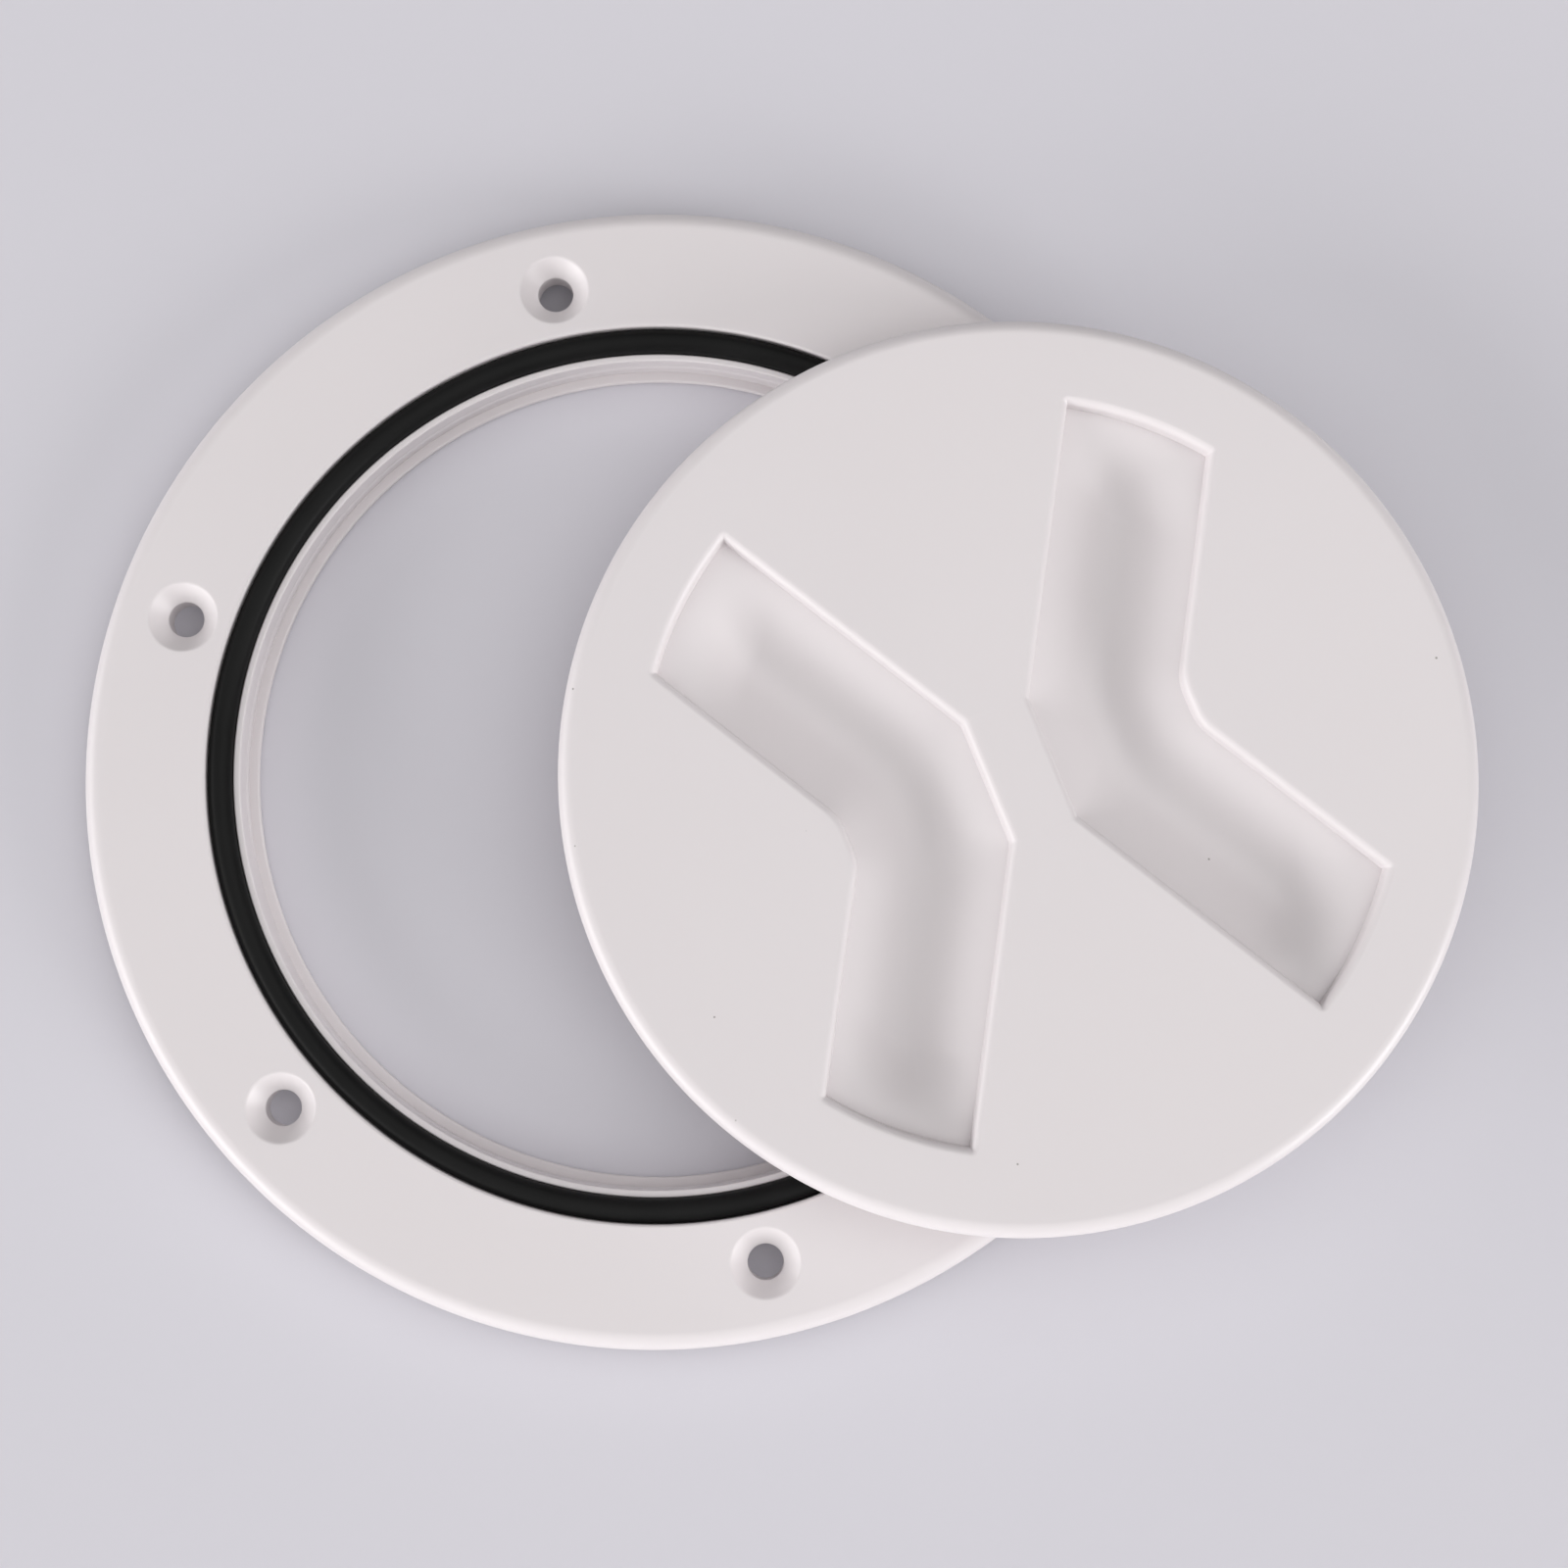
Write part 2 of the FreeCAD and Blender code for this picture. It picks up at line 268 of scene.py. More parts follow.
def screw_places_tree():
    """Geometry Nodes tree that cuts one cutter out of a moulding at equal steps round its axis."""
    tree = bpy.data.node_groups.new("screw_places", "GeometryNodeTree")
    tree.interface.new_socket("Geometry", in_out="OUTPUT", socket_type="NodeSocketGeometry")
    tree.interface.new_socket("Geometry", in_out="INPUT", socket_type="NodeSocketGeometry")
    tree.interface.new_socket("Cutter", in_out="INPUT", socket_type="NodeSocketObject")
    tree.interface.new_socket("Count", in_out="INPUT", socket_type="NodeSocketInt")
    tree.interface.new_socket("First Angle", in_out="INPUT", socket_type="NodeSocketFloat")
    tree.interface.new_socket("Material", in_out="INPUT", socket_type="NodeSocketMaterial")
    given = add_node(tree, "NodeGroupInput", {}).outputs
    step = add_node(tree, "ShaderNodeMath", {0: math.tau, 1: given["Count"]}, operation="DIVIDE")
    index = add_node(tree, "GeometryNodeInputIndex", {})
    angle = add_node(tree, "ShaderNodeMath",
                     {0: index.outputs[0], 1: step.outputs[0], 2: given["First Angle"]},
                     operation="MULTIPLY_ADD")
    turn = add_node(tree, "ShaderNodeCombineXYZ", {"Z": angle.outputs[0]})
    places = add_node(tree, "GeometryNodePoints", {"Count": given["Count"], "Position": (0, 0, 0)})
    cutter = add_node(tree, "GeometryNodeObjectInfo", {"Object": given["Cutter"]})
    cutters = add_node(tree, "GeometryNodeInstanceOnPoints",
                       {"Points": places.outputs[0], "Instance": cutter.outputs["Geometry"],
                        "Rotation": turn.outputs[0]})
    solid_cutters = add_node(tree, "GeometryNodeRealizeInstances", {0: cutters.outputs[0]})
    cut = add_node(tree, "GeometryNodeMeshBoolean",
                   {"Mesh 1": given["Geometry"], "Mesh 2": solid_cutters.outputs[0]},
                   operation="DIFFERENCE", solver="EXACT")
    whole = add_node(tree, "GeometryNodeRealizeInstances", {0: cut.outputs["Mesh"]})
    painted = add_node(tree, "GeometryNodeSetMaterial",
                       {"Geometry": whole.outputs[0], "Material": given["Material"]})
    add_node(tree, "NodeGroupOutput", {0: painted.outputs[0]})
    return tree


def thread_tree():
    """Geometry Nodes tree that adds a coarse thread's ridges, one for each start. Each runs out at
    both ends. It stands outwards where Aim is 1, and in towards the axis where Aim is -1."""
    path_steps = 240
    round_steps = 3
    run_out_share = 0.05
    end_scale = 0.35
    tree = bpy.data.node_groups.new("thread_ridges", "GeometryNodeTree")
    tree.interface.new_socket("Geometry", in_out="OUTPUT", socket_type="NodeSocketGeometry")
    tree.interface.new_socket("Geometry", in_out="INPUT", socket_type="NodeSocketGeometry")
    for name in ("Wall Radius", "Foot", "Rise", "Sweep", "Base Width", "Crest Width", "Height",
                 "Rounding", "Aim"):
        tree.interface.new_socket(name, in_out="INPUT", socket_type="NodeSocketFloat")
    tree.interface.new_socket("Starts", in_out="INPUT", socket_type="NodeSocketInt")
    tree.interface.new_socket("Material", in_out="INPUT", socket_type="NodeSocketMaterial")
    given = add_node(tree, "NodeGroupInput", {}).outputs
    turns = add_node(tree, "ShaderNodeMath", {0: given["Sweep"], 1: 360.0}, operation="DIVIDE")
    spiral = add_node(tree, "GeometryNodeCurveSpiral",
                      {"Resolution": path_steps, "Rotations": turns.outputs[0],
                       "Start Radius": given["Wall Radius"], "End Radius": given["Wall Radius"],
                       "Height": given["Rise"], "Reverse": False})
    upright = add_node(tree, "GeometryNodeSetCurveNormal", {0: spiral.outputs[0]}, mode="Z_UP")
    along = add_node(tree, "GeometryNodeSplineParameter", {})
    from_end = add_node(tree, "ShaderNodeMath", {0: 1.0, 1: along.outputs["Factor"]},
                        operation="SUBTRACT")
    nearer = add_node(tree, "ShaderNodeMath",
                      {0: along.outputs["Factor"], 1: from_end.outputs[0]}, operation="MINIMUM")
    run_out = add_node(tree, "ShaderNodeMapRange",
                       {"Value": nearer.outputs[0], "From Min": 0.0, "From Max": run_out_share,
                        "To Min": end_scale, "To Max": 1.0}, interpolation_type="SMOOTHSTEP")
    sunk_height = add_node(tree, "ShaderNodeMath", {0: given["Height"], 1: 2.0},
                           operation="MULTIPLY")
    section = add_node(tree, "GeometryNodeCurvePrimitiveQuadrilateral",
                       {"Bottom Width": given["Base Width"], "Top Width": given["Crest Width"],
                        "Offset": 0.0, "Height": sunk_height.outputs[0]}, mode="TRAPEZOID")
    rounded = add_node(tree, "GeometryNodeFilletCurve",
                       {"Curve": section.outputs[0], "Radius": given["Rounding"],
                        "Limit Radius": True, "Count": round_steps}, mode="POLY")
    quarter_turn = add_node(tree, "ShaderNodeMath", {0: given["Aim"], 1: math.pi / 2},
                            operation="MULTIPLY")
    aim = add_node(tree, "ShaderNodeCombineXYZ", {"Z": quarter_turn.outputs[0]})
    aimed = add_node(tree, "GeometryNodeTransform",
                     {"Geometry": rounded.outputs[0], "Rotation": aim.outputs[0]})
    ridge = add_node(tree, "GeometryNodeCurveToMesh",
                     {"Curve": upright.outputs[0], "Profile Curve": aimed.outputs[0],
                      "Scale": run_out.outputs[0], "Fill Caps": True})
    lift = add_node(tree, "ShaderNodeCombineXYZ", {"Z": given["Foot"]})
    places = add_node(tree, "GeometryNodePoints",
                      {"Count": given["Starts"], "Position": lift.outputs[0]})
    index = add_node(tree, "GeometryNodeInputIndex", {})
    step = add_node(tree, "ShaderNodeMath", {0: math.tau, 1: given["Starts"]}, operation="DIVIDE")
    angle = add_node(tree, "ShaderNodeMath", {0: index.outputs[0], 1: step.outputs[0]},
                     operation="MULTIPLY")
    turn = add_node(tree, "ShaderNodeCombineXYZ", {"Z": angle.outputs[0]})
    ridges = add_node(tree, "GeometryNodeInstanceOnPoints",
                      {"Points": places.outputs[0], "Instance": ridge.outputs[0],
                       "Rotation": turn.outputs[0]})
    solid_ridges = add_node(tree, "GeometryNodeRealizeInstances", {0: ridges.outputs[0]})
    union = add_node(tree, "GeometryNodeMeshBoolean", {}, operation="UNION", solver="EXACT")
    tree.links.new(given["Geometry"], union.inputs["Mesh 2"])
    tree.links.new(solid_ridges.outputs[0], union.inputs["Mesh 2"])
    whole = add_node(tree, "GeometryNodeRealizeInstances", {0: union.outputs["Mesh"]})
    painted = add_node(tree, "GeometryNodeSetMaterial",
                       {"Geometry": whole.outputs[0], "Material": given["Material"]})
    add_node(tree, "NodeGroupOutput", {0: painted.outputs[0]})
    return tree


def mottle_group():
    """Shader node group for a moulded skin: a fine uneven height, and a slow drift."""
    group = bpy.data.node_groups.new("moulded_mottle", "ShaderNodeTree")
    for name in ("Grain Size", "Drift Size", "Drift Amount"):
        group.interface.new_socket(name, in_out="INPUT", socket_type="NodeSocketFloat")
    group.interface.new_socket("Height", in_out="OUTPUT", socket_type="NodeSocketFloat")
    group.interface.new_socket("Drift", in_out="OUTPUT", socket_type="NodeSocketFloat")
    given = add_node(group, "NodeGroupInput", {}).outputs
    place = add_node(group, "ShaderNodeTexCoord", {}).outputs["Object"]
    grain_scale = add_node(group, "ShaderNodeMath", {0: 1.0, 1: given["Grain Size"]},
                           operation="DIVIDE")
    drift_scale = add_node(group, "ShaderNodeMath", {0: 1.0, 1: given["Drift Size"]},
                           operation="DIVIDE")
    grain = add_node(group, "ShaderNodeTexNoise",
                     {"Vector": place, "Scale": grain_scale.outputs[0], "Detail": 2.0})
    drift = add_node(group, "ShaderNodeTexNoise",
                     {"Vector": place, "Scale": drift_scale.outputs[0], "Detail": 1.0})
    centred = add_node(group, "ShaderNodeMath", {0: drift.outputs[0], 1: 0.5},
                       operation="SUBTRACT")
    scaled = add_node(group, "ShaderNodeMath",
                      {0: centred.outputs[0], 1: given["Drift Amount"]}, operation="MULTIPLY")
    add_node(group, "NodeGroupOutput", {"Height": grain.outputs[0], "Drift": scaled.outputs[0]})
    return group


def white_plastic():
    """White moulded plastic, half glossy and slightly warm, with a mould's faint ripple."""
    darker_white = (0.728, 0.683, 0.693, 1)
    lighter_white = (0.744, 0.699, 0.709, 1)
    fleck_brown = (0.22, 0.20, 0.18, 1)
    fleck_spacing = 4 * MM
    fleck_share = 0.12
    fleck_core, fleck_rim = 0.030, 0.045
    fleck_cover = 0.8
    mean_roughness, roughness_drift = 0.36, 0.10
    material = bpy.data.materials.new("white_plastic")
    material.use_nodes = True
    tree = material.node_tree
    skin = tree.nodes["Principled BSDF"]
    skin.inputs["IOR"].default_value = 1.48
    mottle = add_node(tree, "ShaderNodeGroup", {}, node_tree=moulded_mottle)
    mottle.inputs["Grain Size"].default_value = 1.1 * MM
    mottle.inputs["Drift Size"].default_value = 22 * MM
    mottle.inputs["Drift Amount"].default_value = 1.0
    tone = add_node(tree, "ShaderNodeMapRange",
                    {"Value": mottle.outputs["Drift"], "From Min": -0.5, "From Max": 0.5,
                     "To Min": 0.0, "To Max": 1.0})
    white = add_node(tree, "ShaderNodeMix",
                     {0: tone.outputs[0], 6: darker_white, 7: lighter_white},
                     data_type="RGBA")
    place = add_node(tree, "ShaderNodeTexCoord", {}).outputs["Object"]
    grains = add_node(tree, "ShaderNodeTexVoronoi", {"Vector": place, "Scale": 1 / fleck_spacing})
    grain_kind = add_node(tree, "ShaderNodeSeparateColor", {0: grains.outputs["Color"]})
    is_dark = add_node(tree, "ShaderNodeMath", {0: grain_kind.outputs[0], 1: fleck_share},
                       operation="LESS_THAN")
    is_near = add_node(tree, "ShaderNodeMapRange",
                       {"Value": grains.outputs["Distance"], "From Min": fleck_core,
                        "From Max": fleck_rim, "To Min": fleck_cover, "To Max": 0.0})
    fleck = add_node(tree, "ShaderNodeMath", {0: is_dark.outputs[0], 1: is_near.outputs[0]},
                     operation="MULTIPLY")
    flecked = add_node(tree, "ShaderNodeMix",
                       {0: fleck.outputs[0], 6: white.outputs[2], 7: fleck_brown},
                       data_type="RGBA")
    tree.links.new(flecked.outputs[2], skin.inputs["Base Color"])
    gloss = add_node(tree, "ShaderNodeMath",
                     {0: mottle.outputs["Drift"], 1: roughness_drift, 2: mean_roughness},
                     operation="MULTIPLY_ADD")
    tree.links.new(gloss.outputs[0], skin.inputs["Roughness"])
    bump = add_node(tree, "ShaderNodeBump",
                    {"Height": mottle.outputs["Height"], "Strength": 0.05, "Distance": 0.05 * MM})
    tree.links.new(bump.outputs[0], skin.inputs["Normal"])
    return material


moulded_mottle = mottle_group()
plastic = white_plastic()
THREAD_HEIGHT = 0.6 * MM
THREAD_LEAD = 4.4 * MM
BORE_RIDGE_HEIGHT = 0.15 * MM
BORE_RIDGE_ROUND = 0.1 * MM
BORE_RIDGE_SWEEP = 160.0
BORE_RIDGE_LIFT = 1.0 * MM
THREAD = {
    "Base Width": 2.6 * MM,
    "Crest Width": 0.6 * MM,
    "Height": THREAD_HEIGHT,
    "Rounding": 0.5 * MM,
    "Starts": 2,
    "Material": plastic,
}
thread_ridges = thread_tree()
cutter = screw_cutter()
add_tree_modifier(ring, screw_places_tree(), {
    "Cutter": cutter,
    "Count": SCREW_COUNT,
    "First Angle": math.pi / 2,
    "Material": plastic,
})
add_tree_modifier(ring, thread_ridges, THREAD | {
    "Wall Radius": BORE_RADIUS,
    "Foot": LIP_TOP + BORE_RIDGE_LIFT,
    "Rise": THREAD_LEAD * BORE_RIDGE_SWEEP / 360,
    "Sweep": BORE_RIDGE_SWEEP,
    "Height": BORE_RIDGE_HEIGHT,
    "Rounding": BORE_RIDGE_ROUND,
    "Aim": -1.0,
})
settle(ring)
bpy.data.objects.remove(cutter)
crisp_shading(ring)
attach(ring, "root")
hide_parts("mounting_ring")

# Seal: one moulded ring of black rubber, round in section. It lies in the groove between the seat's
# wall and the sill, and the lid presses on it when the hatch is shut.
SEAL_SECTION_RADIUS = 1.55 * MM
SEAL_SIDE_GAP = 0.05 * MM
SEAL_RADIUS = SEAT_RADIUS - SEAL_SIDE_GAP - SEAL_SECTION_RADIUS


def seal_tree():
    """Geometry Nodes tree for a ring of round section, from its radius and its section's radius."""
    path_steps = 480
    section_steps = 36
    tree = bpy.data.node_groups.new("seal_ring_sweep", "GeometryNodeTree")
    tree.interface.new_socket("Geometry", in_out="OUTPUT", socket_type="NodeSocketGeometry")
    tree.interface.new_socket("Geometry", in_out="INPUT", socket_type="NodeSocketGeometry")
    for name in ("Ring Radius", "Section Radius", "Middle Height"):
        tree.interface.new_socket(name, in_out="INPUT", socket_type="NodeSocketFloat")
    tree.interface.new_socket("Material", in_out="INPUT", socket_type="NodeSocketMaterial")
    given = add_node(tree, "NodeGroupInput", {}).outputs
    path = add_node(tree, "GeometryNodeCurvePrimitiveCircle",
                    {"Resolution": path_steps, "Radius": given["Ring Radius"]}, mode="RADIUS")
    section = add_node(tree, "GeometryNodeCurvePrimitiveCircle",
                       {"Resolution": section_steps, "Radius": given["Section Radius"]},
                       mode="RADIUS")
    swept = add_node(tree, "GeometryNodeCurveToMesh",
                     {"Curve": path.outputs[0], "Profile Curve": section.outputs[0]})
    lift = add_node(tree, "ShaderNodeCombineXYZ", {"Z": given["Middle Height"]})
    placed = add_node(tree, "GeometryNodeTransform",
                      {"Geometry": swept.outputs[0], "Translation": lift.outputs[0]})
    smooth = add_node(tree, "GeometryNodeSetShadeSmooth", {0: placed.outputs[0]})
    whole = add_node(tree, "GeometryNodeRealizeInstances", {0: smooth.outputs[0]})
    painted = add_node(tree, "GeometryNodeSetMaterial",
                       {"Geometry": whole.outputs[0], "Material": given["Material"]})
    add_node(tree, "NodeGroupOutput", {0: painted.outputs[0]})
    return tree


def black_rubber():
    """Black moulded rubber with a satin skin and a faint grey bloom."""
    deepest_black, palest_bloom = 0.006, 0.010
    mean_roughness, roughness_drift = 0.45, 0.15
    material = bpy.data.materials.new("black_rubber")
    material.use_nodes = True
    tree = material.node_tree
    skin = tree.nodes["Principled BSDF"]
    skin.inputs["IOR"].default_value = 1.5
    skin.inputs["Specular IOR Level"].default_value = 0.12
    mottle = add_node(tree, "ShaderNodeGroup", {}, node_tree=moulded_mottle)
    mottle.inputs["Grain Size"].default_value = 0.35 * MM
    mottle.inputs["Drift Size"].default_value = 9 * MM
    mottle.inputs["Drift Amount"].default_value = 1.0
    bloom = add_node(tree, "ShaderNodeMapRange",
                     {"Value": mottle.outputs["Drift"], "From Min": -0.3, "From Max": 0.3,
                      "To Min": deepest_black, "To Max": palest_bloom})
    tree.links.new(bloom.outputs[0], skin.inputs["Base Color"])
    gloss = add_node(tree, "ShaderNodeMath",
                     {0: mottle.outputs["Drift"], 1: roughness_drift, 2: mean_roughness},
                     operation="MULTIPLY_ADD")
    tree.links.new(gloss.outputs[0], skin.inputs["Roughness"])
    bump = add_node(tree, "ShaderNodeBump",
                    {"Height": mottle.outputs["Height"], "Strength": 0.15, "Distance": 0.03 * MM})
    tree.links.new(bump.outputs[0], skin.inputs["Normal"])
    return material


rubber = black_rubber()
seal = bpy.data.objects.new("seal", bpy.data.meshes.new("seal"))
bpy.context.scene.collection.objects.link(seal)
add_tree_modifier(seal, seal_tree(), {
    "Ring Radius": SEAL_RADIUS,
    "Section Radius": SEAL_SECTION_RADIUS,
    "Middle Height": SEAT_FLOOR + SEAL_SECTION_RADIUS,
    "Material": rubber,
})
settle(seal)
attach(seal, "root")
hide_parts("seal_ring")

# Screw lid: one white plastic moulding, a plate with a rounded edge over a threaded skirt. Two bent
# troughs are sunk in it, with short walls over a hollowed floor, for fingers to turn it by. It is
# screwed out and lies on the flange.
LID_HEIGHT = 10.0 * MM
LID_SEAT_GAP = 0.4 * MM
LID_SKIN = 2.4 * MM
LID_EDGE_ROUND = 2.0 * MM
LID_FOOT_ROUND = 0.5 * MM
LID_RADIUS = SEAT_RADIUS - LID_SEAT_GAP
SKIN_FOOT = LID_HEIGHT - LID_SKIN
THREAD_CLEARANCE = 0.2 * MM
SKIRT_WALL = 2.0 * MM
SKIRT_HEIGHT = 6.0 * MM
SKIRT_RADIUS = BORE_RADIUS - THREAD_HEIGHT - THREAD_CLEARANCE
SKIRT_INNER_RADIUS = SKIRT_RADIUS - SKIRT_WALL
SKIRT_ROOT_ROUND = 0.5 * MM
SKIRT_EDGE_ROUND = 0.4 * MM
SKIRT_RIDGE_SWEEP = 200.0
SKIRT_RIDGE_FOOT = 1.4 * MM
TROUGH_HALF_WIDTH = 9.1 * MM
TROUGH_DEPTH = 6.4 * MM
TROUGH_WALL = 1.8 * MM
TROUGH_REACH = 46.2 * MM
TROUGH_RIM_ROUND = 1.0 * MM
TROUGH_SIDE_DEPTH = 2.2 * MM
TROUGH_END_DEPTH = 2.4 * MM
TROUGH_SLOPE_LENGTH = 11.0 * MM
TROUGH_SLOPE_START = TROUGH_REACH - TROUGH_SLOPE_LENGTH
TROUGH_END_SAG = (TROUGH_END_DEPTH - TROUGH_SIDE_DEPTH) / (TROUGH_DEPTH - TROUGH_SIDE_DEPTH)
TROUGH_DRAFT = math.radians(5)
TROUGH_ARM_ANGLE = math.radians(60)
TROUGH_ARM_OFFSET = 9.0 * MM
TROUGH_MIDDLE = 13.5 * MM
TROUGH_BEND_MOVE = 1.0
TROUGH_BEND_LEAN = 0.7
TROUGH_BEND_FLOOR = 3.0
LID_SHIFT = 44.7 * MM
LID_SHIFT_ANGLE = -14.2
LID_TURN = 9.5
LID_PLACE = Matrix.Rotation(math.radians(LID_SHIFT_ANGLE), 4, "Z")
LID_PLACE = LID_PLACE @ Matrix.Translation((LID_SHIFT, 0, FLANGE_TOP))
LID_PLACE = LID_PLACE @ Matrix.Rotation(math.radians(LID_TURN - LID_SHIFT_ANGLE), 4, "Z")


def trough_skin(mesh, half_turn, wall, level, rim_round, draft):
    """Adds one trough's skin, grown by a wall: its floor, walls and rim, up to a level."""
    reach = TROUGH_REACH + wall
    touch = TROUGH_HALF_WIDTH + wall
    steepest = math.pi / 2 - draft
    touch_height = level - rim_round * (1 - math.cos(steepest))
    edge_height = LID_HEIGHT - TROUGH_SIDE_DEPTH - wall
    half_floor = touch - (touch_height - edge_height) * math.tan(draft)
    floor_steps = 40
    rim_steps = 8 if rim_round else 0
    wall_rises = (0.15, 0.85, 1.0)

    half_columns = []
    for i in range(1, floor_steps // 2 + 1):
        half_columns.append((half_floor * 2 * i / floor_steps, 0, None))
    for rise in wall_rises:
        half_columns.append((half_floor + (touch - half_floor) * rise, rise, None))
    rim = [(0.0, touch_height)]
    for i in range(1, rim_steps + 1):
        b = steepest * (1 - i / rim_steps)
        rim_out = rim_round * (math.sin(steepest) - math.sin(b))
        rim.append((rim_out, level - rim_round * (1 - math.cos(b))))
    half_columns += [(touch + o, 1, z) for o, z in rim[1:]]
    columns = [(-a, rise, z) for a, rise, z in reversed(half_columns)]
    columns += [(0.0, 0, None)] + half_columns

    up = Vector((math.cos(TROUGH_ARM_ANGLE), math.sin(TROUGH_ARM_ANGLE)))
    down = Vector((up.x, -up.y))
    bend = (TROUGH_MIDDLE * up.y - TROUGH_ARM_OFFSET) / up.x
    corners = [Vector((TROUGH_MIDDLE, -bend)), Vector((TROUGH_MIDDLE, bend))]
    headings = [-down, Vector((0, 1)), up]
    lefts = [Vector((-h.y, h.x)) for h in headings]
    mitres = [(lefts[i] + lefts[i + 1]) / (1 + lefts[i].dot(lefts[i + 1])) for i in range(2)]
    arms = [(corners[0], down, lefts[0]), (corners[1], up, lefts[2])]
    turn = Matrix.Rotation(half_turn, 2)

    def lifted(point, height):
        flat = turn @ point
        return Vector((flat.x, flat.y, height))

    def arm_point(i, across, distance):
        """Point on a straight line along an arm, at a distance from the lid's axis."""
        corner, outward, left = arms[i]
        foot = corner - outward * corner.dot(outward) + left * across
        return foot + outward * math.sqrt(distance ** 2 - foot.length_squared)

    def plain_floor(across):
        """Height of the floor across a trough: gentle near its walls, and deepest in the middle."""
        share = max(-1, min(1, across / half_floor))
        sag = (1 - share ** 2 + math.cos(math.pi / 2 * share) ** 2) / 2
        return edge_height - (TROUGH_DEPTH - TROUGH_SIDE_DEPTH) * sag

    def floor_height(ground, distance):
        """Height of the floor, which rises in a smooth slope towards an end wall."""
        share = max(0, min(1, (distance - TROUGH_SLOPE_START) / TROUGH_SLOPE_LENGTH))
        rise = share ** 2 * (3 - 2 * share)
        return ground + (edge_height - ground) * (1 - TROUGH_END_SAG) * rise

    def foot_distance(ground):
        """Distance from the lid's axis at which the leaning end wall stands on the floor."""
        distance = reach
        for _ in range(4):
            distance = reach - (touch_height - floor_height(ground, distance)) * math.tan(draft)
        return distance

    def skin_point(point, low, rise, height):
        """Point of the skin at its own height, or at a rise from the floor to the rim's start."""
        return lifted(point, low + (touch_height - low) * rise if height is None else height)

    def slope_row(i, share):
        """Row across an arm's end: at the end wall's foot for share 0, at the plain floor for 1."""
        row = []
        for across, rise, height in columns:
            ground = plain_floor(across)
            foot = foot_distance(ground)
            low = floor_height(ground, foot + (TROUGH_SLOPE_START - foot) * share)
            start = foot + (reach - foot) * rise
            held = max(-touch, min(touch, across))
            point = arm_point(i, held, start + (TROUGH_SLOPE_START - start) * share)
            point = point + arms[i][2] * (across - held)
            row.append(skin_point(point, low, rise, height))
        return row

    def bend_row(i, heading):
        """Row across a bend, moved along a heading: most on the floor, least on the outer rim."""
        row = []
        for across, rise, height in columns:
            low = plain_floor(across)
            place = across / TROUGH_HALF_WIDTH
            on_floor = max(0, 1 - place ** 2)
            move = heading * (
                TROUGH_BEND_MOVE - TROUGH_BEND_LEAN * place + TROUGH_BEND_FLOOR * on_floor
            ) * MM
            point = corners[i] + mitres[i] * across + move
            row.append(skin_point(point, low, rise, height))
        return row

    def between(row, other, share):
        return [p.lerp(q, share) for p, q in zip(row, other)]

    arm_steps = 10
    bend_steps = 8
    slope_steps = 20
    shares = [k / slope_steps for k in range(slope_steps + 1)]
    arm_starts = [bend_row(0, -headings[0]), bend_row(1, headings[2])]
    rows = [slope_row(0, share) for share in shares]
    arm_shares = [k / arm_steps for k in range(1, arm_steps)]
    rows += [between(rows[-1], arm_starts[0], share) for share in arm_shares]
    for i in (0, 1):
        before = bend_row(i, -headings[i])
        after = bend_row(i, headings[i + 1])
        middle = bend_row(i, Vector((0, 0)))
        for k in range(bend_steps + 1):
            share = k / bend_steps
            first_leg = between(before, middle, share)
            rows.append(between(first_leg, between(middle, after, share), share))
    last_rows = [slope_row(1, share) for share in reversed(shares)]
    rows += [between(arm_starts[1], last_rows[0], share) for share in arm_shares]
    add_sheet(mesh, rows + last_rows)

    fan_steps = 6
    for i, (_, _, left) in enumerate(arms):
        floor_columns = [across for across, rise, height in columns if rise == 0]
        tops = [arm_point(i, across * touch / half_floor, reach) for across in floor_columns]
        end_wall = []
        for rise in (0,) + wall_rises:
            row = []
            for across in floor_columns:
                ground = plain_floor(across)
                foot = foot_distance(ground)
                low = floor_height(ground, foot)
                spread = 1 + (touch / half_floor - 1) * rise
                point = arm_point(i, across * spread, foot + (reach - foot) * rise)
                row.append(skin_point(point, low, rise, None))
            end_wall.append(row)
        add_sheet(mesh, end_wall)
        if not rim_round:
            continue
        fans = []
        for corner, outward in ((tops[0], -left), (tops[-1], left)):
            swing = outward.angle_signed(corner.normalized())
            fans.append([
                (corner, Matrix.Rotation(-swing * k / fan_steps, 2) @ outward)
                for k in range(fan_steps + 1)
            ])
        around = fans[0] + [(p, p.normalized()) for p in tops[1:-1]] + fans[1][::-1]
        add_sheet(mesh, [[lifted(p + d * o, z) for o, z in rim] for p, d in around])


def fill_flat(mesh, height):
    """Fills the flat area between the open edges at one height."""
    bmesh.ops.remove_doubles(mesh, verts=mesh.verts, dist=MERGE_DISTANCE)
    open_edges = [
        e for e in mesh.edges
        if e.is_boundary and all(abs(v.co.z - height) < MERGE_DISTANCE for v in e.verts)
    ]
    bmesh.ops.triangle_fill(mesh, edges=open_edges, use_beauty=True, normal=(0, 0, 1))


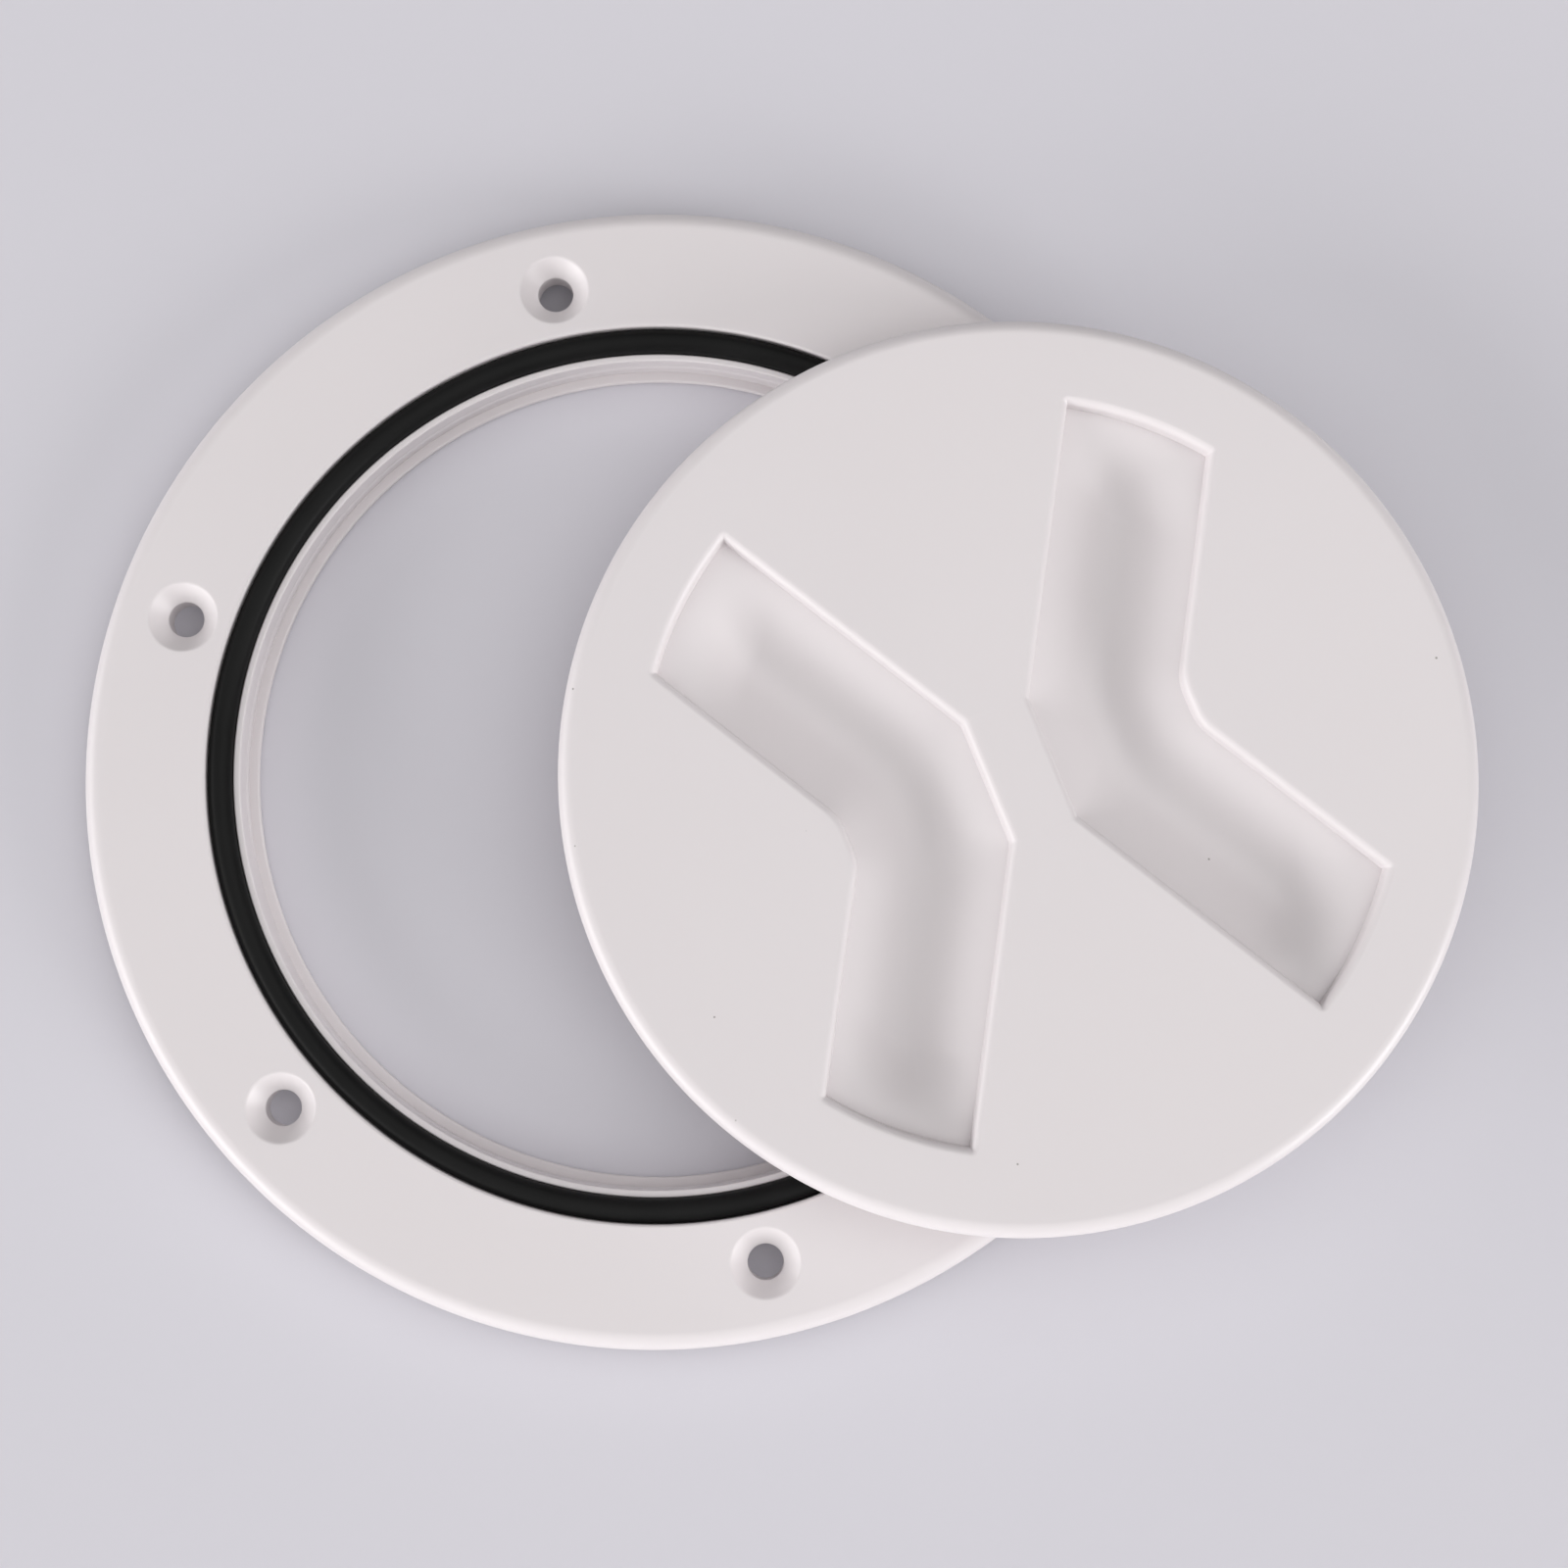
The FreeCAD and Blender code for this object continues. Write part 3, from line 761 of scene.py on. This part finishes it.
lid_mesh = bmesh.new()
lid_section = rounded_section([
    (LID_RADIUS - LID_EDGE_ROUND, LID_HEIGHT, 0),
    (LID_RADIUS, LID_HEIGHT, LID_EDGE_ROUND),
    (LID_RADIUS, SKIRT_HEIGHT, LID_FOOT_ROUND),
    (SKIRT_RADIUS, SKIRT_HEIGHT, SKIRT_ROOT_ROUND),
    (SKIRT_RADIUS, 0, SKIRT_EDGE_ROUND),
    (SKIRT_INNER_RADIUS, 0, SKIRT_EDGE_ROUND),
    (SKIRT_INNER_RADIUS, SKIN_FOOT, SKIRT_ROOT_ROUND),
    (SKIRT_INNER_RADIUS - SKIRT_ROOT_ROUND, SKIN_FOOT, 0),
], is_closed=False)
add_turned(lid_mesh, lid_section, is_closed=False)
for half_turn in (0, math.pi):
    trough_skin(lid_mesh, half_turn, 0, LID_HEIGHT, TROUGH_RIM_ROUND, TROUGH_DRAFT)
    trough_skin(lid_mesh, half_turn, TROUGH_WALL, SKIN_FOOT, 0, 0)
fill_flat(lid_mesh, LID_HEIGHT)
fill_flat(lid_mesh, SKIN_FOOT)
lid = piece_of("lid_moulding", lid_mesh)
add_tree_modifier(lid, thread_ridges, THREAD | {
    "Wall Radius": SKIRT_RADIUS,
    "Foot": SKIRT_RIDGE_FOOT,
    "Rise": THREAD_LEAD * SKIRT_RIDGE_SWEEP / 360,
    "Sweep": SKIRT_RIDGE_SWEEP,
    "Aim": 1.0,
})
settle(lid)
lid.data.transform(LID_PLACE)
crisp_shading(lid)
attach(lid, "root")
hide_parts("screw_lid")

# Floor and light: a plain pale sheet of paper under the ring. Low soft lamps, strongest at the near
# left and the right, make the rounded edges shine, and a broad one overhead lights the flat tops.
PHOTO_TURN = Matrix.Rotation(math.radians(-12.48), 4, "Z")
FLOOR_HALF_SIZE = 1.6


def floor_paper():
    """Pale matt paper."""
    material = bpy.data.materials.new("floor_paper")
    material.use_nodes = True
    tree = material.node_tree
    paper = tree.nodes["Principled BSDF"]
    paper.inputs["Base Color"].default_value = (0.662, 0.644, 0.692, 1)
    paper.inputs["Roughness"].default_value = 0.8
    return material


floor_mesh = bmesh.new()
bmesh.ops.create_grid(floor_mesh, x_segments=1, y_segments=1, size=FLOOR_HALF_SIZE)
bmesh.ops.translate(floor_mesh, verts=floor_mesh.verts, vec=(0, 0, COLLAR_FOOT))
floor_data = bpy.data.meshes.new("floor")
floor_mesh.to_mesh(floor_data)
floor_mesh.free()
floor = bpy.data.objects.new("floor", floor_data)
floor.data.materials.append(floor_paper())
bpy.context.scene.collection.objects.link(floor)


def add_light(name, azimuth, elevation, spread, strength):
    """A broad soft light from a direction in the photograph's axes, in degrees."""
    data = bpy.data.lights.new(name, "SUN")
    data.angle = math.radians(spread)
    data.energy = strength
    light = bpy.data.objects.new(name, data)
    a = math.radians(azimuth)
    e = math.radians(elevation)
    toward = Vector((math.cos(a) * math.cos(e), math.sin(a) * math.cos(e), math.sin(e)))
    toward = PHOTO_TURN @ toward
    light.matrix_world = toward.to_track_quat("Z", "Y").to_matrix().to_4x4()
    bpy.context.scene.collection.objects.link(light)


LOW_ELEVATION = 12
LOW_SPREAD = 36
add_light("low_light_left", 180, LOW_ELEVATION, LOW_SPREAD, 0.85)
add_light("low_light_near_left", 210, LOW_ELEVATION, LOW_SPREAD, 1.80)
add_light("low_light_near", 240, LOW_ELEVATION, LOW_SPREAD, 0.65)
add_light("low_light_right", 330, LOW_ELEVATION, LOW_SPREAD, 2.20)
add_light("low_light_far", 120, LOW_ELEVATION, LOW_SPREAD, 0.15)
add_light("high_light_right", 0, 58, 60, 0.45)
add_light("high_light_above", 0, 87, 100, 1.42)
SKY_ON_OBJECT = 0.02
SKY_BEHIND = 1.0
world = bpy.data.worlds.new("studio")
world.use_nodes = True
sky = world.node_tree.nodes["Background"]
sky.inputs["Color"].default_value = (0.82, 0.81, 0.83, 1)
rays = add_node(world.node_tree, "ShaderNodeLightPath", {})
seen = add_node(world.node_tree, "ShaderNodeMapRange",
                {"Value": rays.outputs["Is Camera Ray"], "To Min": SKY_ON_OBJECT,
                 "To Max": SKY_BEHIND})
world.node_tree.links.new(seen.outputs[0], sky.inputs["Strength"])
bpy.context.scene.world = world

# Camera: above the hatch and a little in front of it, at the photograph's viewing angle.
camera_data = bpy.data.cameras.new("camera")
camera_data.lens = 53.84
camera_data.sensor_width = 36
camera_data.clip_start = 0.01
camera = bpy.data.objects.new("camera", camera_data)
camera_place = Vector((12.41 * MM, -31.58 * MM, 294.31 * MM + FLANGE_TOP))
lean_back = Matrix.Rotation(math.radians(5.71), 4, "X")
lean_side = Matrix.Rotation(math.radians(-0.68), 4, "Y")
camera.matrix_world = PHOTO_TURN @ Matrix.Translation(camera_place) @ lean_side @ lean_back
bpy.context.scene.collection.objects.link(camera)
bpy.context.scene.camera = camera
bpy.context.scene.view_settings.view_transform = "Standard"
